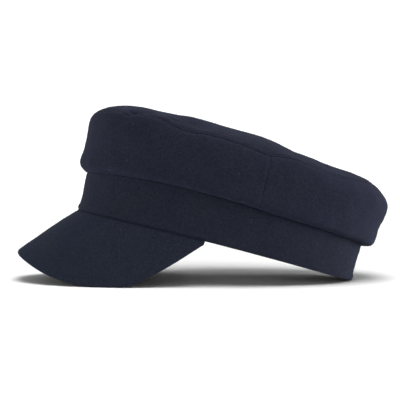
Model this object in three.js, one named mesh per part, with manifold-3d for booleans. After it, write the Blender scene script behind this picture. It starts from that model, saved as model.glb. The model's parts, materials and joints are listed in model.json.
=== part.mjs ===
// A breton fisherman cap in navy wool cloth: a soft crown of a domed tip over two side panels, a plain
// band and a steep cloth-covered peak. Each panel is its own closed solid, a cloth wall with its real
// thickness.
//
// The cap is drawn in its own frame, in millimetres: the peak points to -Y, +Z is up, and z = 0 is the
// band's lower edge at the centre of the front and the back. Angles run round the band in degrees from 0
// at the front, over 90 at the wearer's left (+X), to 180 at the back. The whole cap is then pitched back,
// as it stands on a table: on the two low corners of the peak and on the back of the band, with its cloth
// pressed flat where it touches.

import * as THREE from "three";
import { mergeVertices } from "three/addons/utils/BufferGeometryUtils.js";
import Module from "manifold-3d";

const wasm = await Module();
wasm.setup();

// Driving dimensions, in millimetres and degrees.
const BAND_HALF_LENGTH = 103.1;
const BAND_HALF_WIDTH = 85.5;
const EGG = 0.03; // how much narrower the front of the head oval is
const BAND_WALL = 2.5;
const SIDE_ARCH = 5.2; // how far the band's lower edge bows up at the sides
const CLOTH = 2.0; // wall of the crown panels
const PEAK_THICKNESS = 3.0; // stiffened peak with cloth on both faces
const PEAK_INSET = 0.6; // how far outside the band's oval the peak's upper face starts
const PEAK_HALF_ANGLE = 85; // where each horn of the peak ends on the band
const SIDE_SEAM = 101; // where the front and back side panels meet
const GAP = 0.3; // kept between neighbouring pieces
const PRESSED = 0.5; // depth of cloth flattened by the table

const FRONT_STEPS = 40; // facets round the front side panel
const BACK_STEPS = 32; // and round the back one
const PEAK_STEPS = 46;

const ANGLE_STEP = 1.5; // steps round and along a face that find its normals
const CROWN_STEP = 0.02;
const PEAK_STEP = 1;

const NAVY = 0x272b38;

// Height of the seam between band and crown, by angle.
const BAND_TOP = [
  { angle: 0, height: 28.0 },
  { angle: 20, height: 30.0 },
  { angle: 40, height: 33.6 },
  { angle: 60, height: 36.4 },
  { angle: 75, height: 37.4 },
  { angle: 90, height: 37.1 },
  { angle: 105, height: 35.7 },
  { angle: 120, height: 34.0 },
  { angle: 150, height: 30.5 },
  { angle: 180, height: 25.8 },
];

// Height of the seam between the side panels and the tip, by angle, with its soft waves on each side.
const TIP_SEAM = [
  { angle: 0, left: 75.0, right: 75.0 },
  { angle: 20, left: 76.6, right: 76.2 },
  { angle: 32, left: 77.8, right: 77.4 },
  { angle: 38, left: 77.0, right: 78.2 },
  { angle: 45, left: 79.8, right: 79.0 },
  { angle: 52, left: 80.8, right: 79.4 },
  { angle: 60, left: 79.0, right: 78.6 },
  { angle: 67, left: 77.0, right: 77.4 },
  { angle: 76, left: 77.9, right: 76.8 },
  { angle: 90, left: 76.5, right: 77.0 },
  { angle: 100, left: 74.2, right: 76.2 },
  { angle: 110, left: 75.8, right: 75.0 },
  { angle: 122, left: 73.6, right: 73.4 },
  { angle: 132, left: 71.5, right: 72.2 },
  { angle: 150, left: 72.2, right: 72.4 },
  { angle: 180, left: 72.2, right: 72.2 },
];

// Outline of the side panels: how far they stand outside the band's oval at the front, the sides and the
// back. Rise runs from 0 at the band seam to 1 at the tip seam.
const SIDE_PANEL = [
  { rise: 0.0, front: -2.2, side: -2.2, back: -2.2 },
  { rise: 0.0, front: 0.8, side: 0.8, back: 0.8 },
  { rise: 0.03, front: 3.4, side: 4.4, back: 6.7 },
  { rise: 0.07, front: 6.0, side: 6.9, back: 8.9 },
  { rise: 0.13, front: 7.7, side: 8.1, back: 9.8 },
  { rise: 0.2, front: 7.9, side: 8.5, back: 10.1 },
  { rise: 0.35, front: 7.2, side: 8.8, back: 10.2 },
  { rise: 0.5, front: 7.4, side: 9.3, back: 11.8 },
  { rise: 0.62, front: 7.9, side: 9.4, back: 12.5 },
  { rise: 0.72, front: 8.3, side: 9.0, back: 12.3 },
  { rise: 0.82, front: 8.0, side: 8.0, back: 9.8 },
  { rise: 0.89, front: 6.9, side: 6.6, back: 6.2 },
  { rise: 0.95, front: 4.9, side: 4.6, back: 2.3 },
  { rise: 1.0, front: 2.6, side: 1.6, back: -2.0 },
];

// Height of the dome of the tip along its middle line, by distance forward of the cap's centre.
const TIP_CREST = [
  { forward: -110, height: 77.0 },
  { forward: -75, height: 77.3 },
  { forward: -48, height: 79.6 },
  { forward: -36, height: 80.9 },
  { forward: -24, height: 83.6 },
  { forward: -12, height: 85.3 },
  { forward: 10, height: 85.8 },
  { forward: 33, height: 86.4 },
  { forward: 48, height: 85.8 },
  { forward: 75, height: 84.9 },
  { forward: 110, height: 83.6 },
];

// Where the rings of the tip lie, from its middle (0) to its seam (1).
const TIP_RINGS = [0.02, 0.3, 0.55, 0.74, 0.86, 0.93, 0.97, 1];

// Dents of the soft crown. Reach runs from the tip's middle (0) over its seam (1) to the band seam (2).
const DENTS = [
  { angle: 39, reach: 0.9, halfAngle: 7, halfReach: 0.09, depth: 2.4 },
  { angle: 66, reach: 1.1, halfAngle: 10, halfReach: 0.3, depth: 1.2 },
  { angle: -58, reach: 0.88, halfAngle: 12, halfReach: 0.12, depth: 1.6 },
  { angle: 150, reach: 0.8, halfAngle: 14, halfReach: 0.15, depth: 1.4 },
];

// Outline of the band from its lower edge up: distance outside the oval, with the seam's roll below.
const BAND_OUTSIDE = [
  { height: 0.0, out: 0.2 },
  { height: 1.2, out: 0.8 },
  { height: 3.2, out: 0.7 },
  { height: 5.2, out: 0.0 },
];
const BAND_TOP_OUT = 0.7;

// Length of the peak from the band to its rim, by angle.
const PEAK_LENGTH = [
  { angle: 0, length: 52.4 },
  { angle: 20, length: 55.4 },
  { angle: 36, length: 57.0 },
  { angle: 45, length: 55.6 },
  { angle: 52, length: 53.0 },
  { angle: 58, length: 49.7 },
  { angle: 64, length: 44.2 },
  { angle: 70, length: 33.8 },
  { angle: 77, length: 19.8 },
  { angle: 85, length: 2.2 },
];
const PEAK_SLOPE_FRONT = 48; // below the band's plane, at the middle of the peak
const PEAK_SLOPE_SIDE = 80; // at its horns
const HORN_START = 72; // from here to its end a horn thins out
const HORN_THICKNESS = 1.0;
const PEAK_FAN = 0.6; // share of the band's angle that the peak's rulings turn outwards
const PEAK_BULGE = 0.5; // how far the middle of the peak stands above the straight line from band to rim

const radians = THREE.MathUtils.degToRad;
const STEEPEST_PITCH = radians(30); // the cap's pitch on a table is sought below this

// The value of a column at a place in a table, on a smooth curve through the rows.
function lookUp(table, key, column, at) {
  const last = table.length - 1;
  let i = table.findIndex((row) => row[key] >= at) - 1;
  i = THREE.MathUtils.clamp(at > table[last][key] ? last - 1 : i, 0, last - 1);
  const slope = (k) => {
    const a = table[Math.max(k - 1, 0)];
    const b = table[Math.min(k + 1, last)];
    return (b[column] - a[column]) / (b[key] - a[key]);
  };
  const width = table[i + 1][key] - table[i][key];
  const t = THREE.MathUtils.clamp((at - table[i][key]) / width, 0, 1);
  const t2 = t * t;
  const t3 = t2 * t;
  return (
    table[i][column] * (2 * t3 - 3 * t2 + 1) +
    slope(i) * width * (t3 - 2 * t2 + t) +
    table[i + 1][column] * (3 * t2 - 2 * t3) +
    slope(i + 1) * width * (t3 - t2)
  );
}

// The angle folded to 0 to 180, with the side of the cap that it is on.
function foldAngle(angle) {
  const turned = ((angle % 360) + 540) % 360 - 180;
  return { from0: Math.abs(turned), side: turned < 0 ? "right" : "left" };
}

// A point of the head oval, moved out along the oval's normal.
function ovalPoint(angle, out) {
  const a = radians(angle);
  const s = Math.sin(a);
  const c = Math.cos(a);
  const x = BAND_HALF_WIDTH * s * (1 - EGG * c);
  const y = -BAND_HALF_LENGTH * c;
  const dx = BAND_HALF_WIDTH * (c - EGG * Math.cos(2 * a));
  const dy = BAND_HALF_LENGTH * s;
  const norm = Math.hypot(dx, dy);
  return new THREE.Vector2(x + (out * dy) / norm, y - (out * dx) / norm);
}

// The band's lower edge, which bows up at the sides.
function bandBottom(angle) {
  return SIDE_ARCH * Math.abs(Math.sin(radians(angle))) ** 1.5;
}

function bandTop(angle) {
  return lookUp(BAND_TOP, "angle", "height", foldAngle(angle).from0);
}

function tipSeam(angle) {
  const { from0, side } = foldAngle(angle);
  return lookUp(TIP_SEAM, "angle", side, from0);
}

// A side panel's distance outside the oval and its height, from 0 at its band seam to 1 at the tip seam.
function sidePanelAt(angle, along) {
  const rows = SIDE_PANEL.map((row, i) => ({ ...row, place: i / (SIDE_PANEL.length - 1) }));
  const c = Math.cos(radians(angle));
  const front = Math.max(c, 0) ** 2;
  const back = Math.max(-c, 0) ** 2;
  const column = (name) => lookUp(rows, "place", name, along);
  const out = column("front") * front + column("back") * back + column("side") * (1 - front - back);
  const low = bandTop(angle);
  return { out, height: low + column("rise") * (tipSeam(angle) - low) };
}

// How deep the dents are at a place on the crown.
function dentAt(angle, reach) {
  return DENTS.reduce((sum, dent) => {
    const turn = ((angle - dent.angle + 540) % 360) - 180;
    const away = (turn / dent.halfAngle) ** 2 + ((reach - dent.reach) / dent.halfReach) ** 2;
    return sum + dent.depth * Math.exp(-away);
  }, 0);
}

// The crown's outer face without its dents: along is 0 at the band seam, 1 at the tip seam and 2 at the
// tip's middle.
function smoothCrown(angle, along) {
  if (along <= 1) {
    const { out, height } = sidePanelAt(angle, Math.max(along, 0));
    const plan = ovalPoint(angle, out);
    return new THREE.Vector3(plan.x, plan.y, height);
  }
  const rim = sidePanelAt(angle, 1);
  const reach = 2 - along;
  const plan = ovalPoint(angle, rim.out).multiplyScalar(reach);
  const roundness = 4 + 4 * Math.cos(radians(angle)) ** 2;
  const crest = lookUp(TIP_CREST, "forward", "height", -plan.y);
  const height = rim.height + (crest - rim.height) * (1 - Math.abs(reach) ** roundness);
  return new THREE.Vector3(plan.x, plan.y, height);
}

// The crown's outer face with its dents.
function crownPoint(angle, along) {
  const normal = faceNormal(smoothCrown, angle, along, CROWN_STEP);
  return smoothCrown(angle, along).addScaledVector(normal, -dentAt(angle, 2 - along));
}

// A column of the crown's cloth wall at the places given: its inner points and its outer points.
function crownWall(angle, places, inset) {
  const trim = (place) => THREE.MathUtils.clamp(place, inset.from, inset.to);
  const outer = places.map((place) => crownPoint(angle, trim(place)));
  const inner = places.map((place, i) => {
    const normal = faceNormal(crownPoint, angle, place, CROWN_STEP);
    return outer[i].clone().addScaledVector(normal, -CLOTH);
  });
  return { outer, inner };
}

function peakLength(angle) {
  return lookUp(PEAK_LENGTH, "angle", "length", Math.abs(angle));
}

function peakThickness(angle) {
  const share = THREE.MathUtils.smoothstep(Math.abs(angle), HORN_START, PEAK_HALF_ANGLE);
  return THREE.MathUtils.lerp(PEAK_THICKNESS, HORN_THICKNESS, share);
}

// The peak's upper face: along is the distance in millimetres from the band, down the ruling.
function peakPoint(angle, along) {
  const bend = THREE.MathUtils.smoothstep(Math.abs(angle), 10, 80);
  const slope = radians(PEAK_SLOPE_FRONT + (PEAK_SLOPE_SIDE - PEAK_SLOPE_FRONT) * bend);
  const heading = radians(PEAK_FAN * angle);
  const start = ovalPoint(angle, PEAK_INSET);
  const share = along / peakLength(0);
  const bulge = 4 * PEAK_BULGE * share * (1 - share);
  const flat = along * Math.cos(slope) + bulge * Math.sin(slope);
  return new THREE.Vector3(
    start.x + flat * Math.sin(heading),
    start.y - flat * Math.cos(heading),
    bandBottom(angle) - GAP - along * Math.sin(slope) + bulge * Math.cos(slope),
  );
}

// The outward normal of a face given by two parameters, from points a small step to each side.
function faceNormal(pointAt, angle, along, stepAlong) {
  const round = pointAt(angle + ANGLE_STEP, along).sub(pointAt(angle - ANGLE_STEP, along));
  const up = pointAt(angle, along + stepAlong).sub(pointAt(angle, along - stepAlong));
  return round.cross(up).normalize();
}

// A closed solid through loops of points. The loops join end to end, or the first and last are filled in.
function loft(loops, joined) {
  const size = loops[0].length;
  const positions = loops.flat().flatMap((p) => [p.x, p.y, p.z]);
  const faces = [];
  const spans = joined ? loops.length : loops.length - 1;
  for (let i = 0; i < spans; i++) {
    const next = (i + 1) % loops.length;
    for (let j = 0; j < size; j++) {
      const k = (j + 1) % size;
      const [a, b, c, d] = [i * size + j, i * size + k, next * size + k, next * size + j];
      faces.push([a, b, c], [a, c, d]);
    }
  }
  if (!joined) {
    faces.push(...fill(loops[0]).map(([a, b, c]) => [c, b, a]));
    const base = (loops.length - 1) * size;
    faces.push(...fill(loops.at(-1)).map((face) => face.map((v) => v + base)));
  }
  const geometry = new THREE.BufferGeometry();
  geometry.setAttribute("position", new THREE.Float32BufferAttribute(positions, 3));
  geometry.setIndex(faces.flat());
  const merged = mergeVertices(geometry, 1e-3);
  const index = merged.index.array;
  const kept = [];
  for (let i = 0; i < index.length; i += 3) {
    const [a, b, c] = index.slice(i, i + 3);
    if (a !== b && b !== c && c !== a) kept.push(a, b, c);
  }
  merged.setIndex(kept);
  return merged;
}

// Triangles that fill one nearly flat loop, seen along the loop's own normal.
function fill(loop) {
  const normal = new THREE.Vector3();
  const middle = loop.reduce((sum, p) => sum.add(p), new THREE.Vector3()).divideScalar(loop.length);
  loop.forEach((p, i) => {
    const q = loop[(i + 1) % loop.length];
    normal.add(p.clone().sub(middle).cross(q.clone().sub(middle)));
  });
  if (normal.length() < 1e-9) return [];
  normal.normalize();
  const across = loop[0].clone().sub(middle).normalize();
  const up = normal.clone().cross(across);
  const flat = loop.map((p) => {
    const v = p.clone().sub(middle);
    return new THREE.Vector2(v.dot(across), v.dot(up));
  });
  return THREE.ShapeUtils.triangulateShape(flat, []);
}

// Evenly spaced numbers from one value to another.
function spread(from, to, steps) {
  return Array.from({ length: steps + 1 }, (_, i) => from + ((to - from) * i) / steps);
}

const FRONT_ANGLES = spread(-SIDE_SEAM, SIDE_SEAM, FRONT_STEPS);
const BACK_ANGLES = spread(SIDE_SEAM, 360 - SIDE_SEAM, BACK_STEPS);
const RING_ANGLES = [...FRONT_ANGLES, ...BACK_ANGLES.slice(1, -1)];

// The band: one ring of cloth, with the rolled seam at its lower edge.
function bandGeometry() {
  const loops = RING_ANGLES.map((angle) => {
    const low = bandBottom(angle);
    const high = bandTop(angle) - GAP;
    const at = (out, z) => {
      const p = ovalPoint(angle, out);
      return new THREE.Vector3(p.x, p.y, z);
    };
    const outer = BAND_OUTSIDE.map((row) => at(row.out, low + row.height));
    return [
      at(-BAND_WALL, low),
      at(-BAND_WALL, low + BAND_OUTSIDE.at(-1).height),
      at(BAND_TOP_OUT - BAND_WALL, high),
      at(BAND_TOP_OUT, high),
      ...outer.reverse(),
    ];
  });
  return loft(loops, true);
}

// A side panel of the crown over some angles: a cloth wall with the flange that is sewn onto the band.
function sidePanelGeometry(angles) {
  const halfGap = THREE.MathUtils.radToDeg(GAP / 2 / BAND_HALF_LENGTH);
  const places = SIDE_PANEL.map((_, i) => i / (SIDE_PANEL.length - 1));
  const last = places.length - 1;
  const topSpan = crownPoint(0, 1).distanceTo(crownPoint(0, places[last - 1]));
  const inset = { from: 0, to: 1 - (GAP / 2) * ((1 - places[last - 1]) / topSpan) };
  const loops = angles.map((angle) => {
    const trimmed = THREE.MathUtils.clamp(angle, angles[0] + halfGap, angles.at(-1) - halfGap);
    const { outer, inner } = crownWall(trimmed, places, inset);
    return [...inner, ...outer.reverse()];
  });
  return loft(loops, false);
}

// The tip: a domed oval of cloth, with rings out over its inner face and back over its outer face.
function tipGeometry() {
  const inset = { from: 1 + GAP / 2 / BAND_HALF_WIDTH, to: 2 };
  const places = TIP_RINGS.map((reach) => 2 - reach);
  const columns = RING_ANGLES.map((angle) => crownWall(angle, places, inset));
  const rings = (face) => places.map((_, i) => columns.map((column) => column[face][i]));
  return loft([...rings("inner"), ...rings("outer").reverse()], false);
}

// The peak: a stiff curved plate whose root lies under the band's lower edge and whose rim is rounded.
function peakGeometry() {
  const loops = spread(-PEAK_HALF_ANGLE, PEAK_HALF_ANGLE, PEAK_STEPS).map((angle) => {
    const thickness = peakThickness(angle);
    const radius = thickness / 2;
    const body = Math.max(peakLength(angle) - radius, 0.5);
    const normalAt = (along) => faceNormal(peakPoint, angle, along, PEAK_STEP).negate();
    const down = peakPoint(angle, 1).sub(peakPoint(angle, 0));
    const upper = [0, 0.5, 1].map((share) => peakPoint(angle, body * share));
    const lower = [1, 0.5, 0].map((share) => {
      const normal = normalAt(body * share);
      const root = share === 0 ? (thickness * normal.z) / down.z : 0;
      return peakPoint(angle, body * share - root).addScaledVector(normal, -thickness);
    });
    const rim = [45, 90, 135].map((turn) => {
      const reach = radius * Math.sin(radians(turn));
      const depth = radius * (1 - Math.cos(radians(turn)));
      return peakPoint(angle, body + reach).addScaledVector(normalAt(body), -depth);
    });
    return [...upper, ...rim, ...lower];
  });
  return loft(loops, false);
}

// A manifold-3d solid from a closed geometry, and back.
function toSolid(geometry) {
  const bare = new THREE.BufferGeometry().setAttribute("position", geometry.getAttribute("position"));
  bare.setIndex(geometry.index);
  const merged = mergeVertices(bare, 1e-3);
  return new wasm.Manifold(
    new wasm.Mesh({
      numProp: 3,
      vertProperties: merged.attributes.position.array,
      triVerts: new Uint32Array(merged.index.array),
    }),
  );
}

function toGeometry(solid) {
  const mesh = solid.getMesh();
  const geometry = new THREE.BufferGeometry();
  geometry.setAttribute("position", new THREE.BufferAttribute(mesh.vertProperties, 3));
  geometry.setIndex(new THREE.BufferAttribute(mesh.triVerts, 1));
  return geometry;
}

// One panel of wool cloth as a named mesh.
function clothMesh(name, geometry) {
  const wool = new THREE.MeshStandardMaterial({ color: NAVY, roughness: 0.95, metalness: 0 });
  const mesh = new THREE.Mesh(geometry, wool);
  mesh.name = name;
  return mesh;
}

// The pitch at which the peak's corners and the back of the band are level, as when both stand on a table.
function restingPitch(peakMesh, bandMesh) {
  const lowest = (mesh, pitch) => {
    const turned = mesh.geometry.clone().applyMatrix4(new THREE.Matrix4().makeRotationX(-pitch));
    turned.computeBoundingBox();
    return turned.boundingBox.min.z;
  };
  let low = 0;
  let high = STEEPEST_PITCH;
  while (high - low > 1e-9) {
    const pitch = (low + high) / 2;
    const peakIsLower = lowest(peakMesh, pitch) < lowest(bandMesh, pitch);
    [low, high] = peakIsLower ? [pitch, high] : [low, pitch];
  }
  return low;
}

// Pitches the cap and sets it down, so that its lowest cloth is pressed into the table at z = 0.
function setDown(cap, pitch) {
  cap.rotation.x = -pitch;
  cap.updateMatrixWorld(true);
  const box = new THREE.Box3().setFromObject(cap, true);
  const middle = box.getCenter(new THREE.Vector3());
  cap.position.set(-middle.x, -middle.y, -box.min.z - PRESSED);
  cap.updateMatrixWorld(true);
}

// Cuts off what reaches below the table, which leaves the cloth flat where it rests.
function pressFlat(mesh, cap) {
  const below = new THREE.BoxGeometry(400, 400, 20).translate(0, 0, -10);
  below.deleteAttribute("normal");
  below.deleteAttribute("uv");
  below.applyMatrix4(cap.matrixWorld.clone().invert());
  mesh.geometry = toGeometry(toSolid(mesh.geometry).subtract(toSolid(below)));
}

const band = clothMesh("band", bandGeometry());
const peak = clothMesh("peak", peakGeometry());
const frontPanel = clothMesh("crown_side_front", sidePanelGeometry(FRONT_ANGLES));
const backPanel = clothMesh("crown_side_back", sidePanelGeometry(BACK_ANGLES));
const tip = clothMesh("crown_tip", tipGeometry());

const cap = new THREE.Group();
cap.add(band, peak, frontPanel, backPanel, tip);
setDown(cap, restingPitch(peak, band));
[band, peak].forEach((mesh) => pressFlat(mesh, cap));

const scene = new THREE.Group();
scene.add(cap);

export default scene;
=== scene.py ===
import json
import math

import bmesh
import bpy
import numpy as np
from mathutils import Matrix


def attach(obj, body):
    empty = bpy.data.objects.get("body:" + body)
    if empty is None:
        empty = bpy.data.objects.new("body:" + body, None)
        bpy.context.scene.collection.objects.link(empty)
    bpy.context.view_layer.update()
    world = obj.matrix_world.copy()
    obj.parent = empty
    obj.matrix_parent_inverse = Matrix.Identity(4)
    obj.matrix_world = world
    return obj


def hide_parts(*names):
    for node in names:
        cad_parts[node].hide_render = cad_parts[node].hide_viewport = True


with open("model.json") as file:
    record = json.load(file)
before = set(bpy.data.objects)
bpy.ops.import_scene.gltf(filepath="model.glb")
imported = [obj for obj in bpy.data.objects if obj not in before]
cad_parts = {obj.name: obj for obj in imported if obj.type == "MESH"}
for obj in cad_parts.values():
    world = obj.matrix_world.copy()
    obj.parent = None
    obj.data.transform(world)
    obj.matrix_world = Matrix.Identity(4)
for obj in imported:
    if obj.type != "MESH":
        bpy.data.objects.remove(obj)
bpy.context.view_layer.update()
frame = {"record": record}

# The looks of a navy wool fisherman cap. Its five cloth panels are rebuilt as fine meshes over the solids
# of the frame, with their seams, stitches, pinches and soft folds.
#
# Shapes are worked out in the cap's own frame, in millimetres: the peak points to -Y, +Z is up and z = 0 is
# the band's lower edge at the front and the back. Angles run round the band in degrees, from 0 at the front
# over 90 at the wearer's left (+X) to 180 at the back. The pitch on the table comes from the frame.

MM = 0.001
RNG = np.random.default_rng(7)

# Driving dimensions, in millimetres and degrees, the same as the solids have.
BAND_HALF_LENGTH = 103.1
BAND_HALF_WIDTH = 85.5
EGG = 0.03
BAND_WALL = 2.5
BAND_TOP_OUT = 0.7
SIDE_ARCH = 5.2
SIDE_ARCH_POWER = 1.5
CLOTH = 2.0
PEAK_THICKNESS = 3.0
PEAK_INSET = 0.6
PEAK_HALF_ANGLE = 85
PEAK_SLOPE_FRONT = 48
PEAK_SLOPE_SIDE = 80
HORN_START = 72
HORN_THICKNESS = 1.0
PEAK_FAN = 0.6
PEAK_BULGE = 0.5
SIDE_SEAM = 101
GAP = 0.3
DOME_ROUNDNESS_SIDE = 4
DOME_ROUNDNESS_END = 8


def table(names, *rows):
    """Named columns from rows of numbers."""
    return dict(zip(names.split(), np.array(rows, float).T))


# Height of the seam between band and crown.
BAND_TOP = table(
    "angle height",
    (0, 28.0),
    (20, 30.0),
    (40, 33.6),
    (60, 36.4),
    (75, 37.4),
    (90, 37.1),
    (105, 35.7),
    (120, 34.0),
    (150, 30.5),
    (180, 25.8),
)

# Height of the seam between the side panels and the tip, on each side of the cap.
TIP_SEAM = table(
    "angle left right",
    (0, 75.0, 75.0),
    (20, 76.6, 76.2),
    (32, 77.8, 77.4),
    (38, 77.0, 78.2),
    (45, 79.8, 79.0),
    (52, 80.8, 79.4),
    (60, 79.0, 78.6),
    (67, 77.0, 77.4),
    (76, 77.9, 76.8),
    (90, 76.5, 77.0),
    (100, 74.2, 76.2),
    (110, 75.8, 75.0),
    (122, 73.6, 73.4),
    (132, 71.5, 72.2),
    (150, 72.2, 72.4),
    (180, 72.2, 72.2),
)

# How far the side panels stand outside the head oval. Rise is 0 at the band seam and 1 at the tip seam.
SIDE_PANEL = table(
    "rise front side back",
    (0.0, -2.2, -2.2, -2.2),
    (0.0, 0.8, 0.8, 0.8),
    (0.03, 3.4, 4.4, 6.7),
    (0.07, 6.0, 6.9, 8.9),
    (0.13, 7.7, 8.1, 9.8),
    (0.2, 7.9, 8.5, 10.1),
    (0.35, 7.2, 8.8, 10.2),
    (0.5, 7.4, 9.3, 11.8),
    (0.62, 7.9, 9.4, 12.5),
    (0.72, 8.3, 9.0, 12.3),
    (0.82, 8.0, 8.0, 9.8),
    (0.89, 6.9, 6.6, 6.2),
    (0.95, 4.9, 4.6, 2.3),
    (1.0, 2.6, 1.6, -2.0),
)
SIDE_PANEL["place"] = np.linspace(0, 1, len(SIDE_PANEL["rise"]))

# Height of the tip's dome along its middle line.
TIP_CREST = table(
    "forward height",
    (-110, 77.0),
    (-75, 77.3),
    (-48, 79.6),
    (-36, 80.9),
    (-24, 83.6),
    (-12, 85.3),
    (10, 85.8),
    (33, 86.4),
    (48, 85.8),
    (75, 84.9),
    (110, 83.6),
)

# Dents of the soft crown. Reach runs from the tip's middle (0) over its seam (1) to the band seam (2).
DENTS = table(
    "angle reach half_angle half_reach depth",
    (39, 0.9, 7, 0.09, 2.4),
    (66, 1.1, 10, 0.3, 1.2),
    (-58, 0.88, 12, 0.12, 1.6),
    (150, 0.8, 14, 0.15, 1.4),
)

# Distance of the band's outer face from the oval, up from its lower edge.
BAND_OUTSIDE = table("height out", (0.0, 0.2), (1.2, 0.8), (3.2, 0.7), (5.2, 0.0))

PEAK_LENGTH = table(
    "angle length",
    (0, 52.4),
    (20, 55.4),
    (36, 57.0),
    (45, 55.6),
    (52, 53.0),
    (58, 49.7),
    (64, 44.2),
    (70, 33.8),
    (77, 19.8),
    (85, 2.2),
)


def look_up(rows, key, column, at):
    """The value of a column at a place in a table, on a smooth curve through the rows."""
    keys = rows[key]
    values = rows[column]
    at = np.asarray(at, float)
    last = len(keys) - 1
    i = np.clip(np.searchsorted(keys, at) - 1, 0, last - 1)
    ends = (np.maximum(np.arange(last + 1) - 1, 0), np.minimum(np.arange(last + 1) + 1, last))
    slopes = (values[ends[1]] - values[ends[0]]) / (keys[ends[1]] - keys[ends[0]])
    width = keys[i + 1] - keys[i]
    t = np.clip((at - keys[i]) / width, 0, 1)
    start = values[i] * (2 * t**3 - 3 * t**2 + 1) + slopes[i] * width * (t**3 - 2 * t**2 + t)
    end = values[i + 1] * (3 * t**2 - 2 * t**3) + slopes[i + 1] * width * (t**3 - t**2)
    return start + end


def smooth_step(value, low, high):
    t = np.clip((value - low) / (high - low), 0, 1)
    return t * t * (3 - 2 * t)


def bump(distance, width):
    """1 at no distance, falling smoothly to 0 over about twice the width."""
    return np.exp(-((distance / width) ** 2))


def turn_between(angle, other):
    return (angle - other + 540) % 360 - 180


def stack(x, y, z):
    return np.stack(np.broadcast_arrays(x, y, z), axis=-1)


def length_of(vectors):
    return np.linalg.norm(vectors, axis=-1)


def oval_point(angle, out):
    """A point of the head oval, moved out along the oval's normal."""
    a = np.radians(angle)
    s = np.sin(a)
    c = np.cos(a)
    dx = BAND_HALF_WIDTH * (c - EGG * np.cos(2 * a))
    dy = BAND_HALF_LENGTH * s
    norm = np.hypot(dx, dy)
    x = BAND_HALF_WIDTH * s * (1 - EGG * c) + out * dy / norm
    y = -BAND_HALF_LENGTH * c - out * dx / norm
    return x, y


def band_bottom(angle):
    return SIDE_ARCH * np.abs(np.sin(np.radians(angle))) ** SIDE_ARCH_POWER


def band_top(angle):
    return look_up(BAND_TOP, "angle", "height", np.abs(turn_between(angle, 0)))


def tip_seam(angle):
    turned = turn_between(angle, 0)
    left = look_up(TIP_SEAM, "angle", "left", np.abs(turned))
    right = look_up(TIP_SEAM, "angle", "right", np.abs(turned))
    return np.where(turned < 0, right, left)


def side_panel(angle, along):
    """A side panel's distance outside the oval and its height, from band seam (0) to tip seam (1)."""
    c = np.cos(np.radians(angle))
    front = np.maximum(c, 0) ** 2
    back = np.maximum(-c, 0) ** 2
    column = {name: look_up(SIDE_PANEL, "place", name, along) for name in ("rise", "front", "side", "back")}
    out = column["front"] * front + column["back"] * back + column["side"] * (1 - front - back)
    low = band_top(angle)
    return out, low + column["rise"] * (tip_seam(angle) - low)


def dent_depth(angle, reach):
    depth = 0
    for row in zip(*DENTS.values()):
        at, at_reach, half_angle, half_reach, deepest = row
        away = (turn_between(angle, at) / half_angle) ** 2 + ((reach - at_reach) / half_reach) ** 2
        depth = depth + deepest * np.exp(-away)
    return depth


def smooth_crown(angle, along):
    """The crown's outer face without dents: band seam at 0, tip seam at 1 and the tip's middle at 2."""
    out, side_height = side_panel(angle, np.clip(along, 0, 1))
    side_x, side_y = oval_point(angle, out)
    rim_out, rim_height = side_panel(angle, 1)
    rim_x, rim_y = oval_point(angle, rim_out)
    reach = 2 - along
    tip_x = rim_x * reach
    tip_y = rim_y * reach
    ends = np.cos(np.radians(angle)) ** 2
    roundness = DOME_ROUNDNESS_SIDE + (DOME_ROUNDNESS_END - DOME_ROUNDNESS_SIDE) * ends
    crest = look_up(TIP_CREST, "forward", "height", -tip_y)
    tip_height = rim_height + (crest - rim_height) * (1 - np.abs(reach) ** roundness)
    on_side = along <= 1
    return stack(
        np.where(on_side, side_x, tip_x),
        np.where(on_side, side_y, tip_y),
        np.where(on_side, side_height, tip_height),
    )


# Steps to each side over which normals are measured: round the cap, up the crown and down the peak.
ANGLE_STEP = 1.5
CROWN_STEP = 0.02
PEAK_STEP = 1


def normals_of(point_at, angle, along, step):
    round_it = point_at(angle + ANGLE_STEP, along) - point_at(angle - ANGLE_STEP, along)
    up_it = point_at(angle, along + step) - point_at(angle, along - step)
    normal = np.cross(round_it, up_it)
    return normal / np.maximum(length_of(normal), 1e-9)[..., None]


def dented_crown(angle, along):
    depth = np.broadcast_to(dent_depth(angle, 2 - along), np.broadcast(angle, along).shape)
    normals = normals_of(smooth_crown, angle, along, CROWN_STEP)
    return smooth_crown(angle, along) - normals * depth[..., None]


class Ripples:
    """Soft uneven ripples: a fixed sum of sine waves in all directions with wavelengths in a range."""

    def __init__(self, shortest, longest, count=28):
        directions = RNG.normal(size=(count, 3))
        directions /= length_of(directions)[:, None]
        wavelengths = RNG.uniform(shortest, longest, count)
        self.waves = directions * (2 * math.pi / wavelengths)[:, None]
        self.phases = RNG.uniform(0, 2 * math.pi, count)

    def at(self, points):
        return np.sin(points @ self.waves.T + self.phases).sum(-1) / math.sqrt(len(self.phases))


SOFT_FOLDS = Ripples(26, 60)
SMALL_FOLDS = Ripples(9, 20)
PUCKERS = Ripples(4, 9)
NAP = Ripples(1.6, 3.4, 40)


def soft_cloth(points, folds, small_folds, nap):
    """Height of soft cloth over its plain shape, from the heights of its folds, small folds and nap."""
    return folds * SOFT_FOLDS.at(points) + small_folds * SMALL_FOLDS.at(points) + nap * NAP.at(points)


# Seams, in millimetres, and the angle on each side within which an upright seam shapes the cloth.
STITCH_PITCH = 3.2
STITCH_LENGTH = 2.3
THREAD = 0.42
TIP_ROW = 3.0
SIDE_ROW = 2.4
UPRIGHT_ROW = 4.2
UPRIGHT_FADE = (40, 54)
UPRIGHT_TOP = 74
UPRIGHT_REACH_ANGLE = 20
TIP_DITCH_WIDTH = 1.0
UPRIGHT_DITCH = 0.34
UPRIGHT_DITCH_WIDTH = 0.8
UPRIGHT_ROW_WIDTH = 0.7
PUCKER = 0.12
PUCKER_REACH = 8

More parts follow.
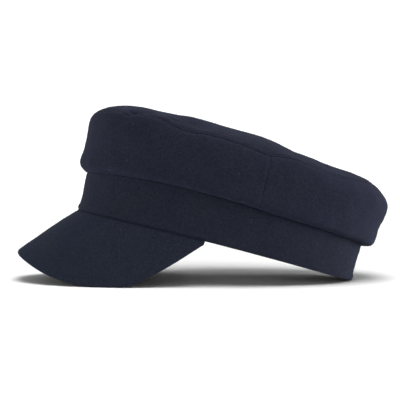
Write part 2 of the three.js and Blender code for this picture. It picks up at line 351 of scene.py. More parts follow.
# Depth of a row of stitches at the middle of each, and how much deeper it is at the needle holes.
TIP_PULL = (0.16, 0.26)
UPRIGHT_PULL = (0.12, 0.3)

# Soft rolls and rows of stitches beside the seams. Beside the tip seam, the offset is onto the tip, or down
# the side panels if it is negative.
TIP_ROLLS = table("offset width height", (5.0, 2.6, 0.12), (-4.6, 2.4, 0.15))
TIP_STITCHES = table("offset width share", (TIP_ROW, 0.75, 1), (-SIDE_ROW, 0.7, 0.8))
UPRIGHT_ROLLS = table("offset width height", (3.4, 2.2, 0.12), (-3.4, 2.2, 0.12))

# How deep the tip seam is pulled in, round the cap.
SEAM_PULL = table("angle depth", (0, 0.25), (35, 0.45), (60, 0.65), (115, 0.6), (135, 0.35), (180, 0.25))


def seam_arc(angle):
    """Distance round the tip seam from the front, for spacing its stitches."""
    grid = np.linspace(-360, 360, 2881)
    points = smooth_crown(grid, np.ones_like(grid))
    run = np.concatenate([[0], np.cumsum(length_of(np.diff(points, axis=0)))])
    return np.interp(angle, grid, run)


def stitch_pull(distance, pull):
    """Depth of a row of stitches at a distance along it, deepest where the thread goes in."""
    needle_holes = 0.5 - 0.5 * np.cos(2 * math.pi * distance / STITCH_PITCH)
    return pull[0] + pull[1] * needle_holes


def distance_from_tip_seam(along, points, angle):
    signed = np.where(along > 1, 1, -1)
    return signed * length_of(points - dented_crown(angle, np.ones_like(along)))


def ridges(rows, distance):
    """The bumps of a table, added up at a distance from their seam."""
    return sum(height * bump(distance - offset, width) for offset, width, height in zip(*rows.values()))


def seam_height(angle, along, points):
    """Height of the cloth over the dented crown at its seams: ditches, pulled stitches and puckers."""
    from_tip_seam = distance_from_tip_seam(along, points, angle)
    pull = look_up(SEAM_PULL, "angle", "depth", np.abs(turn_between(angle, 0)))
    height = ridges(TIP_ROLLS, from_tip_seam) - pull * bump(from_tip_seam, TIP_DITCH_WIDTH)
    height = height - stitch_pull(seam_arc(angle), TIP_PULL) * ridges(TIP_STITCHES, from_tip_seam)
    puckers = PUCKERS.at(points)
    ragged = 0.75 + 0.25 * puckers
    height = height + PUCKER * bump(from_tip_seam, PUCKER_REACH) * ragged * puckers

    on_side = smooth_step(-from_tip_seam, -0.5, 1.5)
    for seam in (SIDE_SEAM, -SIDE_SEAM):
        turn = turn_between(angle, seam)
        seam_points = dented_crown(np.full_like(along, seam), along)
        from_seam = np.sign(turn) * length_of(points - seam_points)
        upper = smooth_step(seam_points[..., 2], *UPRIGHT_FADE)
        close = np.where(np.abs(turn) < UPRIGHT_REACH_ANGLE, 1, 0) * on_side * (0.1 + 0.9 * upper)
        height = height - UPRIGHT_DITCH * close * bump(from_seam, UPRIGHT_DITCH_WIDTH)
        height = height + close * ridges(UPRIGHT_ROLLS, from_seam)
        row = bump(from_seam + np.sign(seam) * UPRIGHT_ROW, UPRIGHT_ROW_WIDTH)
        height = height - close * upper * stitch_pull(seam_points[..., 2], UPRIGHT_PULL) * row
    return height


def crown_cloth(angle, along, points):
    """Height of the crown's soft cloth, whose large folds end at the tip seam."""
    from_tip_seam = distance_from_tip_seam(along, points, angle)
    folds = 0.32 * smooth_step(np.abs(from_tip_seam), 2, 16)
    return soft_cloth(points, folds, small_folds=0.12, nap=0.035)


# Pinched folds of the crown, most of them at its front left. Each is a line on the outer face from one place
# to another. Angles are in degrees and reaches as in the dents; depth is negative for a ridge.
PINCHES = table(
    "angle_from reach_from angle_to reach_to width depth",
    (27, 0.95, 51, 0.9, 1.8, 1.5),
    (32, 0.99, 50, 0.95, 1.3, -0.8),
    (24, 1.05, 46, 1.09, 1.8, -0.8),
    (26, 1.13, 50, 1.16, 2.8, 0.8),
    (46, 0.86, 66, 0.95, 2.8, 0.9),
    (-36, 0.93, -66, 0.9, 3.2, 0.9),
    (112, 0.9, 140, 0.95, 2.8, 0.6),
)


def nearest_on_line(points, line):
    """Distance of each point from a line, and how far along the line its nearest place is, from 0 to 1."""
    nearest = np.full(points.shape[:-1], np.inf)
    place = np.zeros(points.shape[:-1])
    for i, (start, end) in enumerate(zip(line[:-1], line[1:])):
        span = end - start
        t = np.clip(((points - start) @ span) / (span @ span), 0, 1)
        away = length_of(points - start - t[..., None] * span)
        place = np.where(away < nearest, (i + t) / (len(line) - 1), place)
        nearest = np.minimum(nearest, away)
    return nearest, place


def pinch_height(points):
    """Height of the pinched folds, each deepest at its middle and gone at its ends."""
    height = 0
    for row in zip(*PINCHES.values()):
        angle_from, reach_from, angle_to, reach_to, width, depth = row
        angles = np.linspace(angle_from, angle_to, 7)
        reaches = np.linspace(reach_from, reach_to, 7)
        line = dented_crown(angles, 2 - reaches)
        nearest, place = nearest_on_line(points, line)
        height = height - depth * bump(nearest, width) * np.sin(math.pi * place) ** 2
    return height


MIDDLE_REACH = 0.06  # within this reach of the tip's middle the normals turn to straight up
PINCH_SHADE_AND_WEAR = 0.3  # how much of the pinches' depth is painted on the cloth: as shade in their valleys and as wear on their ridges


def crown(angle, along):
    """The finished outer face of the crown, its normals before the detail, and the relief of its seams and
    pinches, painted on the cloth as shade in the ditches and as wear on the ridges.
    """
    angle, along = np.broadcast_arrays(np.asarray(angle, float), np.asarray(along, float))
    points = dented_crown(angle, along)
    normals = normals_of(dented_crown, angle, along, CROWN_STEP)
    off_middle = smooth_step(2 - along, 0, MIDDLE_REACH)[..., None]
    normals = normals * off_middle + np.array([0, 0, 1.0]) * (1 - off_middle)
    above_hem = smooth_step(along, 0.02, 0.14)
    seams = seam_height(angle, along, points) * above_hem
    pinches = pinch_height(points) * above_hem
    height = seams + pinches + crown_cloth(angle, along, points) * above_hem
    return points + normals * height[..., None], normals, seams + PINCH_SHADE_AND_WEAR * pinches


# Placing on the table, from the frame's own record of where the head goes in.

OPENING = next(m for m in frame["record"]["mounts"] if m["name"] == "head_opening")
CAP_ORIGIN = np.array(OPENING["pos_m"])
UP = -np.array(OPENING["axis"])


def to_world(points):
    """Millimetres in the cap's frame to metres on the table, with the cloth flat where it touches it."""
    x, y, z = np.moveaxis(np.asarray(points) * MM, -1, 0)
    world = stack(x, y * UP[2] + z * UP[1], -y * UP[1] + z * UP[2]) + CAP_ORIGIN
    world[..., 2] = np.maximum(world[..., 2], 0)
    return world


def make_object(name, vertices, faces, material):
    mesh = bpy.data.meshes.new(name)
    mesh.from_pydata(to_world(vertices).tolist(), [], faces)
    mesh.polygons.foreach_set("use_smooth", [True] * len(mesh.polygons))
    mesh.materials.append(material)
    obj = bpy.data.objects.new(name, mesh)
    bpy.context.collection.objects.link(obj)
    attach(obj, "root")
    return obj


def panel_faces(count, size, ring):
    """Quads between loops of one size: a closed ring of loops, or a strip with its two ends filled."""
    faces = []
    for i in range(count if ring else count - 1):
        a = i * size
        b = ((i + 1) % count) * size
        for j in range(size):
            k = (j + 1) % size
            faces.append((a + j, b + j, b + k, a + k))
    if not ring:
        faces.append(tuple(range(size)))
        faces.append(tuple(reversed(range((count - 1) * size, count * size))))
    return faces


MERGE_DISTANCE = 1e-6


def merge_double_points(obj):
    work = bmesh.new()
    work.from_mesh(obj.data)
    bmesh.ops.remove_doubles(work, verts=work.verts, dist=MERGE_DISTANCE)
    bmesh.ops.recalc_face_normals(work, faces=work.faces)
    work.to_mesh(obj.data)
    work.free()


def set_attribute(obj, name, values):
    attribute = obj.data.attributes.new(name, "FLOAT", "POINT")
    attribute.data.foreach_set("value", np.asarray(values, np.float32).ravel())


# Wool cloth

CREASE_SHADE_TONE = 0.5  # how dark the painted shade in a crease is, as a share of the dark fibres


def wool(name, dark, light, fibre):
    """Felted wool: mottled navy fibres, a soft nap in the bump, paler worn ridges, and painted shade
    darkening the creases.
    """
    material = bpy.data.materials.new(name)
    material.use_nodes = True
    nodes = material.node_tree.nodes
    links = material.node_tree.links
    shader = nodes["Principled BSDF"]
    shader.inputs["Roughness"].default_value = 0.93
    shader.inputs["Diffuse Roughness"].default_value = 1.0
    shader.inputs["Specular IOR Level"].default_value = 0.02
    shader.inputs["Sheen Weight"].default_value = 0.02
    shader.inputs["Sheen Roughness"].default_value = 0.5
    shader.inputs["Sheen Tint"].default_value = (0.5, 0.56, 0.95, 1)
    place = nodes.new("ShaderNodeTexCoord").outputs["Object"]

    def noise(scale, detail=2.0, roughness=0.6, distortion=0.0):
        node = nodes.new("ShaderNodeTexNoise")
        node.inputs["Scale"].default_value = scale
        node.inputs["Detail"].default_value = detail
        node.inputs["Roughness"].default_value = roughness
        node.inputs["Distortion"].default_value = distortion
        links.new(place, node.inputs["Vector"])
        return node.outputs["Fac"]

    def spread(value, low, high, to_low=0.0, to_high=1.0):
        node = nodes.new("ShaderNodeMapRange")
        node.inputs["From Min"].default_value = low
        node.inputs["From Max"].default_value = high
        node.inputs["To Min"].default_value = to_low
        node.inputs["To Max"].default_value = to_high
        links.new(value, node.inputs["Value"])
        return node.outputs["Result"]

    def blend(factor, low, high, how="MIX"):
        node = nodes.new("ShaderNodeMix")
        node.data_type = "RGBA"
        node.blend_type = how
        for value, name in ((factor, "Factor"), (low, "A"), (high, "B")):
            if isinstance(value, bpy.types.NodeSocket):
                links.new(value, node.inputs[name])
            else:
                node.inputs[name].default_value = value
        return node.outputs["Result"]

    mottle = spread(noise(620, detail=3.0, roughness=0.7, distortion=0.6), 0.36, 0.64)
    colour = blend(mottle, (*dark, 1), (*light, 1))
    hairs = spread(noise(1700, roughness=0.75, distortion=1.4), 0.61, 0.76)
    colour = blend(hairs, colour, (*fibre, 1))
    clouds = spread(noise(34), 0.3, 0.7, to_low=0.93, to_high=1.06)
    cloud_colour = nodes.new("ShaderNodeCombineColor")
    for channel in ("Red", "Green"):
        links.new(clouds, cloud_colour.inputs[channel])
    cloud_colour.inputs["Blue"].default_value = 1.0
    colour = blend(1.0, colour, cloud_colour.outputs["Color"], how="MULTIPLY")

    # The seam relief paints shade into the creases and ditches, darker where they are deeper, and paints its
    # ridges paler as wear.
    shade_and_wear_relief = nodes.new("ShaderNodeAttribute")
    shade_and_wear_relief.attribute_name = "shade_and_wear_relief"
    crease_shade = spread(shade_and_wear_relief.outputs["Fac"], -0.2, -1.3)
    colour = blend(crease_shade, colour, (*[channel * CREASE_SHADE_TONE for channel in dark], 1))
    worn = spread(shade_and_wear_relief.outputs["Fac"], 0.25, 1.1, to_high=0.45)
    colour = blend(worn, colour, (*fibre, 1))
    links.new(colour, shader.inputs["Base Color"])

    nap = nodes.new("ShaderNodeBump")
    nap.inputs["Strength"].default_value = 0.45
    nap.inputs["Distance"].default_value = 0.0004
    links.new(noise(1150, detail=3.0, roughness=0.7, distortion=0.8), nap.inputs["Height"])
    felt = nodes.new("ShaderNodeBump")
    felt.inputs["Strength"].default_value = 0.32
    felt.inputs["Distance"].default_value = 0.0008
    links.new(noise(380), felt.inputs["Height"])
    links.new(nap.outputs["Normal"], felt.inputs["Normal"])
    links.new(felt.outputs["Normal"], shader.inputs["Normal"])
    return material


CROWN_WOOL = wool("crown_wool", (0.009, 0.01, 0.0175), (0.0142, 0.0157, 0.0262), (0.031, 0.035, 0.05))
# The tip's wool is a darker copy of the crown's: painted shade that keeps the top of the cap from reading
# too bright.
SHADED_TIP_WOOL = wool("tip_wool", (0.0077, 0.0085, 0.015), (0.0121, 0.0134, 0.0224), (0.028, 0.0315, 0.045))
BAND_WOOL = wool("band_wool", (0.0088, 0.01, 0.0163), (0.014, 0.0158, 0.025), (0.031, 0.035, 0.049))
# The peak's wool is a lighter, bluer copy of the crown's: painted light on the peak's upper face.
LIT_PEAK_WOOL = wool("peak_wool", (0.009, 0.0114, 0.0185), (0.0146, 0.0181, 0.0286), (0.032, 0.038, 0.054))


def speckled(name, dark, light):
    """A thread or fibre whose tone changes along its length."""
    material = bpy.data.materials.new(name)
    material.use_nodes = True
    nodes = material.node_tree.nodes
    links = material.node_tree.links
    shader = nodes["Principled BSDF"]
    shader.inputs["Roughness"].default_value = 0.8
    shader.inputs["Specular IOR Level"].default_value = 0.1
    twist = nodes.new("ShaderNodeTexNoise")
    twist.inputs["Scale"].default_value = 2600
    tones = nodes.new("ShaderNodeMix")
    tones.data_type = "RGBA"
    tones.inputs["A"].default_value = (*dark, 1)
    tones.inputs["B"].default_value = (*light, 1)
    links.new(nodes.new("ShaderNodeTexCoord").outputs["Object"], twist.inputs["Vector"])
    links.new(twist.outputs["Fac"], tones.inputs["Factor"])
    links.new(tones.outputs["Result"], shader.inputs["Base Color"])
    return material


# Panels

ROUND_STEPS = 800
ROW_SPACING = 0.75
SPACING_ANGLES = (0, 60, 90, 120, 180)


def even_places(low, high):
    """Places along the crown from one to the other, about ROW_SPACING apart on average."""
    fine = np.linspace(low, high, 1200)
    run = 0
    for angle in SPACING_ANGLES:
        steps = length_of(np.diff(smooth_crown(np.full_like(fine, angle), fine), axis=0))
        run = run + np.concatenate([[0], np.cumsum(steps)]) / len(SPACING_ANGLES)
    count = int(run[-1] / ROW_SPACING)
    return np.interp(np.linspace(0, run[-1], count), run, fine)


def cloth_panel(name, outer, inner, ring, material, shade_and_wear_relief):
    """A cloth wall from its outer rows and its inner rows, both of shape (angles, rows, 3)."""
    loops = np.concatenate([outer, inner[:, ::-1]], axis=1)
    count, size = loops.shape[:2]
    obj = make_object(name, loops.reshape(-1, 3), panel_faces(count, size, ring), material)
    inside = np.zeros(inner.shape[:2])
    # The seam relief drives painted shade in the creases and wear on the ridges. The inside is left plain.
    set_attribute(obj, "shade_and_wear_relief", np.concatenate([shade_and_wear_relief, inside], axis=1))
    merge_double_points(obj)
    return obj


def crown_panel(name, angles, outer_places, inner_places, ring, material, node):
    outer, _, shade_and_wear_relief = crown(*np.meshgrid(angles, outer_places, indexing="ij"))
    inner, inner_normals, _ = crown(*np.meshgrid(angles, inner_places, indexing="ij"))
    inner = inner - inner_normals * CLOTH
    panel = cloth_panel(name, outer, inner, ring, material, shade_and_wear_relief)
    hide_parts(node)


front_angles = np.linspace(-SIDE_SEAM, SIDE_SEAM, int(ROUND_STEPS * SIDE_SEAM / 180))
back_angles = np.linspace(SIDE_SEAM, 360 - SIDE_SEAM, int(ROUND_STEPS * (180 - SIDE_SEAM) / 180))
ring_angles = np.arange(ROUND_STEPS) * 360 / ROUND_STEPS
side_rows = even_places(0, 1)
side_inner = SIDE_PANEL["place"]
# The tip's rows are twice as far apart over its plain middle as beside its seam.
tip_rows = np.concatenate([even_places(1, 1.25), even_places(1.25, 1.96)[1::2], [2]])
tip_inner = np.array([1, 1.03, 1.07, 1.14, 1.26, 1.45, 1.7, 2])
crown_panel("front_side_panel", front_angles, side_rows, side_inner, False, CROWN_WOOL, "crown_side_front")
crown_panel("back_side_panel", back_angles, side_rows, side_inner, False, CROWN_WOOL, "crown_side_back")
crown_panel("tip_panel", ring_angles, tip_rows, tip_inner, True, SHADED_TIP_WOOL, "crown_tip")


# Band

BAND_ROWS = 46
HEM_ROWS = 3  # rows at the foot of the outer face whose place the rounded hem takes
HEM_BULGE = 0.1
HEM_HEIGHT = 1.0
BACK_SEAM_DEPTH = 0.9
BACK_SEAM_WIDTH = 0.9


def band_lean(share):
    """How far the band stands out from the oval towards its top."""
    return BAND_TOP_OUT * smooth_step(share, 0.25, 1)


def band_face(angle, share):
    """The band's outer face from its lower edge (0) to its top (1), its normals and its seam's relief, which
    is also painted as shade in the seam's ditch.
    """
    low = band_bottom(angle)
    high = band_top(angle) - GAP
    height = share * (high - low)
    out = look_up(BAND_OUTSIDE, "height", "out", height) + band_lean(share)
    x, y = oval_point(angle, out)
    outer = stack(x, y, low + height)
    normals = stack(*oval_point(angle, out + 1), low + height) - outer
    from_seam = np.radians(turn_between(angle, 180)) * BAND_HALF_WIDTH
    inside = smooth_step(height, 0, 2) * smooth_step(high - low - height, 0, 1)
    # The back seam's ditch: cut into the shape, and painted as shade in the colour.
    shade_and_wear_relief = -BACK_SEAM_DEPTH * bump(from_seam, BACK_SEAM_WIDTH) * inside
    folds = soft_cloth(outer, folds=0.22, small_folds=0.1, nap=0.035)
    return outer + normals * (shade_and_wear_relief + folds * inside)[..., None], normals, shade_and_wear_relief


def band_panel():
    angle = ring_angles[:, None]
    outer, _, shade_and_wear_relief = band_face(angle, np.linspace(0, 1, BAND_ROWS)[None, :])
    low = band_bottom(angle)
    high = band_top(angle) - GAP
    under = np.radians(np.linspace(-20, -160, 7))[None, :]
    hem_out = HEM_BULGE - BAND_WALL / 2 + (HEM_BULGE + BAND_WALL / 2) * np.cos(under)
    hem = stack(*oval_point(angle, hem_out), low + HEM_HEIGHT * (1 + np.sin(under)))
    inner_share = np.linspace(0.12, 1, 9)[None, :]
    x, y = oval_point(angle, band_lean(inner_share) - BAND_WALL)
    inner = stack(x, y, low + inner_share * (high - low))
    outer = np.concatenate([hem[:, ::-1], outer[:, HEM_ROWS:]], axis=1)
    shade_and_wear_relief = np.concatenate([np.zeros(hem.shape[:2]), shade_and_wear_relief[:, HEM_ROWS:]], axis=1)
    panel = cloth_panel("band_panel", outer, inner, True, BAND_WOOL, shade_and_wear_relief)
    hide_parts("band")


band_panel()


# Peak

PEAK_COLUMNS = 380
PEAK_ROWS = 72
PEAK_UNDER_ROWS = 18
ROUNDING = np.radians(np.linspace(12, 168, 9))[None, :]
ROOT_RISE = 2.6  # height of the seam allowance inside the band's wall
CREASE_SHADE_WIDTH = 1.0
CREASE_SHADE_START = 0.3


def peak_length(angle):
    return look_up(PEAK_LENGTH, "angle", "length", np.abs(angle))


def peak_face(angle, along):
    slope = PEAK_SLOPE_FRONT + (PEAK_SLOPE_SIDE - PEAK_SLOPE_FRONT) * smooth_step(np.abs(angle), 10, 80)
    slope = np.radians(slope)
    heading = np.radians(PEAK_FAN * angle)
    x, y = oval_point(angle, PEAK_INSET)
    share = along / peak_length(0)
    rise = 4 * PEAK_BULGE * share * (1 - share)
    flat = along * np.cos(slope) + rise * np.sin(slope)
    drop = along * np.sin(slope) - rise * np.cos(slope)
    return stack(x + flat * np.sin(heading), y - flat * np.cos(heading), band_bottom(angle) - GAP - drop)


def peak_thickness(angle):
    thinning = smooth_step(np.abs(angle), HORN_START, PEAK_HALF_ANGLE)
    return PEAK_THICKNESS + (HORN_THICKNESS - PEAK_THICKNESS) * thinning


def peak_body(angle):
    """Length of the peak up to its rounded rim."""
    return np.maximum(peak_length(angle) - peak_thickness(angle) / 2, 0.5)


def peak_top(angle, share):
    """The peak's upper face from the band (0) to its rounded rim (1), and its normals."""
    body = peak_body(angle)
    along = body * share
    upper = peak_face(angle, along)
    normals = -normals_of(peak_face, angle, along, PEAK_STEP)
    folds = soft_cloth(upper, folds=0.16, small_folds=0.07, nap=0.03)
    inside = smooth_step(body - along, 0, 2) * smooth_step(along, 0, 3)
    return upper + normals * (folds * inside)[..., None], normals


def peak_panel():
    angle = np.linspace(-PEAK_HALF_ANGLE, PEAK_HALF_ANGLE, PEAK_COLUMNS)[:, None]
    thickness = peak_thickness(angle)
    radius = thickness / 2
    body = peak_body(angle)
    rows = np.linspace(0, 1, PEAK_ROWS)[None, :]
    upper, _ = peak_top(angle, rows)
    under_along = body * np.linspace(1, 0, PEAK_UNDER_ROWS)[None, :]
    under_normals = normals_of(peak_face, angle, under_along, PEAK_STEP)
    lower = peak_face(angle, under_along) + under_normals * thickness[..., None]

    end_normal = -normals_of(peak_face, angle, body, PEAK_STEP)
    rounded = end_normal * (radius * (1 - np.cos(ROUNDING)))[..., None]
    rim = peak_face(angle, body + radius * np.sin(ROUNDING)) - rounded
    middle = (upper[:, :1] + lower[:, -1:]) / 2
    across = upper[:, :1] - middle
    upright = np.array([0, 0, 1.0]) * ROOT_RISE
    root = middle - across * np.cos(ROUNDING)[..., None] + upright * np.sin(ROUNDING)[..., None]
    outer = np.concatenate([root, upper, rim], axis=1)
    # Painted shade along the crease where the peak meets the band: the colour darkens there, while the shape
    # does not change.
    from_band = np.concatenate([np.zeros(root.shape[:2]), body * rows + CREASE_SHADE_START], axis=1)
    shade_and_wear_relief = -bump(from_band, CREASE_SHADE_WIDTH)
    shade_and_wear_relief = np.concatenate([shade_and_wear_relief, np.zeros(rim.shape[:2])], axis=1)
    panel = cloth_panel("peak_panel", outer, lower[:, ::-1], False, LIT_PEAK_WOOL, shade_and_wear_relief)
    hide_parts("peak")


peak_panel()


# Topstitching along the seams

def thread_object(name, paths, normals, radii, sides, material):
    """One object of many thin closed tubes, along paths of shape (threads, points, 3)."""
    directions = np.gradient(paths, axis=1)
    directions /= length_of(directions)[..., None]
    across = np.cross(directions, normals[:, None])
    across /= length_of(across)[..., None]
    upward = np.cross(across, directions)
    turns = np.arange(sides) * 2 * math.pi / sides
    circle = across[:, :, None] * np.cos(turns)[:, None] + upward[:, :, None] * np.sin(turns)[:, None]
    rings = paths[:, :, None] + np.asarray(radii)[:, None, None] * circle
    count, points = paths.shape[:2]
    faces = []
    for thread in range(count):
        first = thread * points * sides
        for ring in range(points - 1):
            for i in range(sides):
                a = first + ring * sides + i
                b = first + ring * sides + (i + 1) % sides
                faces.append((a, b, b + sides, a + sides))
        faces.append(tuple(range(first + sides - 1, first - 1, -1)))
        faces.append(tuple(range(first + (points - 1) * sides, first + points * sides)))
    make_object(name, rings.reshape(-1, 3), faces, material)


ROUND_NUDGE = 0.4  # small steps, in degrees and places, that show which way a row of stitches runs
UPWARD_NUDGE = 0.01


def seam_row(offset):
    """Centres of stitches beside the tip seam, on the tip or, if the offset is negative, on the sides."""
    whole = seam_arc(360)
    count = int(whole / STITCH_PITCH)
    arcs = np.arange(count) * STITCH_PITCH
    grid = np.linspace(0, 360, 4001)
    angles = np.interp(arcs, seam_arc(grid), grid)
    step = 0.03 if offset > 0 else -0.06  # a short way off the seam, to find its length in millimetres
    seam = dented_crown(angles, np.ones_like(angles))
    reach = length_of(dented_crown(angles, np.full_like(angles, 1 + step)) - seam)
    return angles, 1 + step * np.abs(offset) / reach


def upright_row(seam, offset):
    """Centres of stitches beside an upright seam, from where it fades up to the tip seam."""
    heights = np.arange(UPRIGHT_FADE[0], UPRIGHT_TOP, STITCH_PITCH)
    places = np.linspace(0.25, 1, 400)
    column = dented_crown(np.full_like(places, seam), places)
    along = np.interp(heights, column[:, 2], places)
    on_seam = dented_crown(np.full_like(along, seam), along)
    beside = dented_crown(np.full_like(along, seam + 1.0), along)
    return seam + offset / length_of(beside - on_seam), along


def topstitching():
    """Short stitches sunk into the cloth along the tip seam and in front of each upright seam."""
    rows = [(*seam_row(offset), ROUND_NUDGE, 0) for offset in (TIP_ROW, -SIDE_ROW)]
    for seam in (SIDE_SEAM, -SIDE_SEAM):
        rows.append((*upright_row(seam, -np.sign(seam) * UPRIGHT_ROW), 0, UPWARD_NUDGE))
    places = np.linspace(-0.5, 0.5, 5) * STITCH_LENGTH
    lifts = np.array([-0.45, -0.1, -0.02, -0.1, -0.45])
    paths = []
    facing = []
    for angles, along, turn, climb in rows:
        centres, normals, _ = crown(angles, along)
        ahead, _, _ = crown(angles + turn, along + climb)
        directions = ahead - centres
        directions -= (directions * normals).sum(-1)[:, None] * normals
        directions /= length_of(directions)[:, None]
        row = centres[:, None] + directions[:, None] * places[:, None] + normals[:, None] * lifts[:, None]
        paths.append(row)
        facing.append(normals)
    radii = np.array([0.6, 0.95, 1.0, 0.95, 0.6]) * THREAD / 2
    thread = speckled("sewing_thread", (0.003, 0.0035, 0.006), (0.009, 0.01, 0.016))
    paths = np.concatenate(paths)
    facing = np.concatenate(facing)
    thread_object("topstitching", paths, facing, radii, 6, thread)


topstitching()


# Loose fibres

FIBRE_RADIUS = 0.035
FIBRE_LENGTHS = (0.5, 1.6)
FIBRE_LIFTS = (0.15, 0.9)
LINT_RADIUS = 0.06
LINT_LENGTHS = (1.0, 2.6)
LINT_LIFTS = (0.1, 0.25)
ROOT_DEPTH = 0.12
FIRST_FUZZY_ROW = 8
LAST_FUZZY_PLACE = 1.8


def loose_fibres(name, roots, normals, lengths, lifts, radius, material, slot):
    """Bent fibres that leave the cloth at their roots, in any direction, and rise by their lifts."""
    count = len(roots)
    sideways = RNG.normal(size=(count, 3))
    sideways -= (sideways * normals).sum(-1)[:, None] * normals
    sideways /= length_of(sideways)[:, None]
    bend = np.cross(sideways, normals) * RNG.uniform(-0.6, 0.6, (count, 1))
    length = RNG.uniform(*lengths, (count, 1, 1))
    lift = RNG.uniform(*lifts, (count, 1, 1))
    along = np.array([0, 0.35, 0.7, 1.0])[:, None]
    path = sideways[:, None] * along + bend[:, None] * along**2
    path = roots[:, None] + path * length + normals[:, None] * (lift * along - ROOT_DEPTH * (along == 0))
    thread_object(name, path, normals, np.array([1, 1, 0.8, 0.4]) * radius, 3, material)


def fuzz():
    """The wool's own short fibres, and a few pale threads of lint, on the crown, the band and the peak."""
    navy = speckled("loose_wool", (0.012, 0.0135, 0.022), (0.04, 0.045, 0.065))
    pale = speckled("lint", (0.04, 0.044, 0.056), (0.14, 0.147, 0.17))
    on_tip = tip_rows[(tip_rows > 1) & (tip_rows < LAST_FUZZY_PLACE)]
    places = np.concatenate([side_rows[FIRST_FUZZY_ROW:], on_tip])
    pieces = (
        ("crown", 2600, 50, lambda n: crown(RNG.uniform(0, 360, n), RNG.choice(places, n))[:2]),
        ("band", 900, 20, lambda n: band_face(RNG.uniform(0, 360, n), RNG.uniform(0.1, 0.95, n))[:2]),
        ("peak", 800, 16, lambda n: peak_top(RNG.uniform(-78, 78, n), RNG.uniform(0.05, 1, n))),
    )
    for name, fibres, lint, pick in pieces:
        slot = name + "_wool"
        loose_fibres(name + "_fuzz", *pick(fibres), FIBRE_LENGTHS, FIBRE_LIFTS, FIBRE_RADIUS, navy, slot)
        loose_fibres(name + "_lint", *pick(lint), LINT_LENGTHS, LINT_LIFTS, LINT_RADIUS, pale, slot)


fuzz()


# Floor, light and camera

STUDIO_WHITE = (0.92, 0.92, 0.92, 1)
SWEEP_RADIUS = 0.8
FLOOR_FRONT = 2.6
FLOOR_BACK = -1.6
FLOOR_HALF_WIDTH = 3.0
SWEEP_HEIGHT = 2.4
GLOW_START = -0.15
GLOW = 0.5
SKY = 0.24

# Lamps, in metres and watts: name, place, target, size, power, and how the lamp treats the floor. INCLUDE
# lights the floor alone, EXCLUDE all but the floor, and None everything.
CAP_MIDDLE = (0, 0, 0.05)
LAMPS = (
    ("over_floor", (0.8, 0.1, 1.5), (0, 0, 0), (0.8, 1.9), 36, "INCLUDE"),
    ("front", (2.3, 0, 0.5), CAP_MIDDLE, (2.4, 0.6), 17, None),
    ("left", (0.25, -1.5, 0.5), CAP_MIDDLE, (1.2, 0.8), 36, "EXCLUDE"),
    ("right", (0.5, 1.4, 0.5), CAP_MIDDLE, (1.2, 0.8), 52, "EXCLUDE"),
)


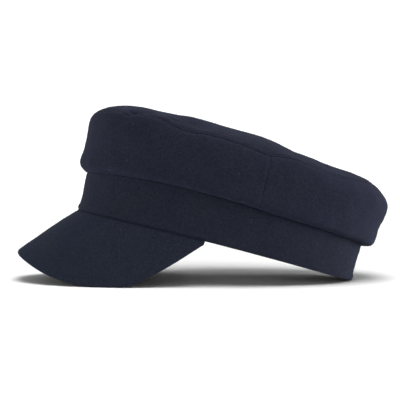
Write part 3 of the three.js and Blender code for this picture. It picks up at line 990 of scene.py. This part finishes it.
def floor():
    """A white floor that sweeps up behind the cap and glows a little towards the back."""
    profile = [(FLOOR_FRONT, 0), (FLOOR_BACK, 0)]
    for turn in np.radians(np.linspace(10, 90, 9)):
        profile.append((FLOOR_BACK - SWEEP_RADIUS * math.sin(turn), SWEEP_RADIUS * (1 - math.cos(turn))))
    profile.append((FLOOR_BACK - SWEEP_RADIUS, SWEEP_HEIGHT))
    vertices = [(x, y, z) for x, z in profile for y in (-FLOOR_HALF_WIDTH, FLOOR_HALF_WIDTH)]
    faces = [(2 * i, 2 * i + 1, 2 * i + 3, 2 * i + 2) for i in range(len(profile) - 1)]
    mesh = bpy.data.meshes.new("studio_floor")
    mesh.from_pydata(vertices, [], faces)
    mesh.polygons.foreach_set("use_smooth", [True] * len(mesh.polygons))
    material = bpy.data.materials.new("studio_floor")
    material.use_nodes = True
    nodes = material.node_tree.nodes
    links = material.node_tree.links
    shader = nodes["Principled BSDF"]
    shader.inputs["Base Color"].default_value = STUDIO_WHITE
    shader.inputs["Roughness"].default_value = 0.9
    shader.inputs["Specular IOR Level"].default_value = 0.1
    shader.inputs["Emission Color"].default_value = (1, 1, 1, 1)
    glow = nodes.new("ShaderNodeMapRange")
    glow.inputs["From Min"].default_value = GLOW_START
    glow.inputs["From Max"].default_value = FLOOR_BACK
    glow.inputs["To Max"].default_value = GLOW
    apart = nodes.new("ShaderNodeSeparateXYZ")
    links.new(nodes.new("ShaderNodeTexCoord").outputs["Object"], apart.inputs["Vector"])
    links.new(apart.outputs["X"], glow.inputs["Value"])
    links.new(glow.outputs["Result"], shader.inputs["Emission Strength"])
    mesh.materials.append(material)
    obj = bpy.data.objects.new("studio_floor", mesh)
    bpy.context.collection.objects.link(obj)
    return obj


def soft_light(ground, name, place, target, size, power, floor_link):
    data = bpy.data.lights.new(name, "AREA")
    data.shape = "RECTANGLE"
    data.size, data.size_y = size
    data.energy = power
    obj = bpy.data.objects.new(name, data)
    obj.location = place
    aim = np.array(target) - np.array(place)
    aim = aim / length_of(aim)
    obj.rotation_euler = (math.acos(-aim[2]), 0, math.atan2(aim[1], aim[0]) - math.pi / 2)
    bpy.context.collection.objects.link(obj)
    if floor_link:
        receivers = bpy.data.collections.new(name + "_reach")
        receivers.objects.link(ground)
        obj.light_linking.receiver_collection = receivers
        receivers.collection_objects[0].light_linking.link_state = floor_link


def studio(ground):
    """A white room: one large lamp over the floor, and low soft lamps round the cap."""
    scene = bpy.context.scene
    scene.view_settings.view_transform = "Standard"
    scene.world = bpy.data.worlds.new("studio")
    scene.world.use_nodes = True
    sky = scene.world.node_tree.nodes["Background"]
    sky.inputs["Color"].default_value = (1, 1, 1, 1)
    sky.inputs["Strength"].default_value = SKY
    for lamp in LAMPS:
        soft_light(ground, *lamp)


CAMERA_DISTANCE = 1.5
CAMERA_HEIGHT = 0.1124
CAMERA_SIDE = -0.0023
CAMERA_TILT_DOWN = 2.067
CAMERA_LENS = 184.17
SENSOR_WIDTH = 36


def camera():
    data = bpy.data.cameras.new("photo_view")
    data.lens = CAMERA_LENS
    data.sensor_width = SENSOR_WIDTH
    obj = bpy.data.objects.new("photo_view", data)
    obj.location = (CAMERA_DISTANCE, CAMERA_SIDE, CAMERA_HEIGHT)
    obj.rotation_euler = (math.radians(90 - CAMERA_TILT_DOWN), 0, math.radians(90))
    bpy.context.collection.objects.link(obj)
    bpy.context.scene.camera = obj


studio(floor())
camera()
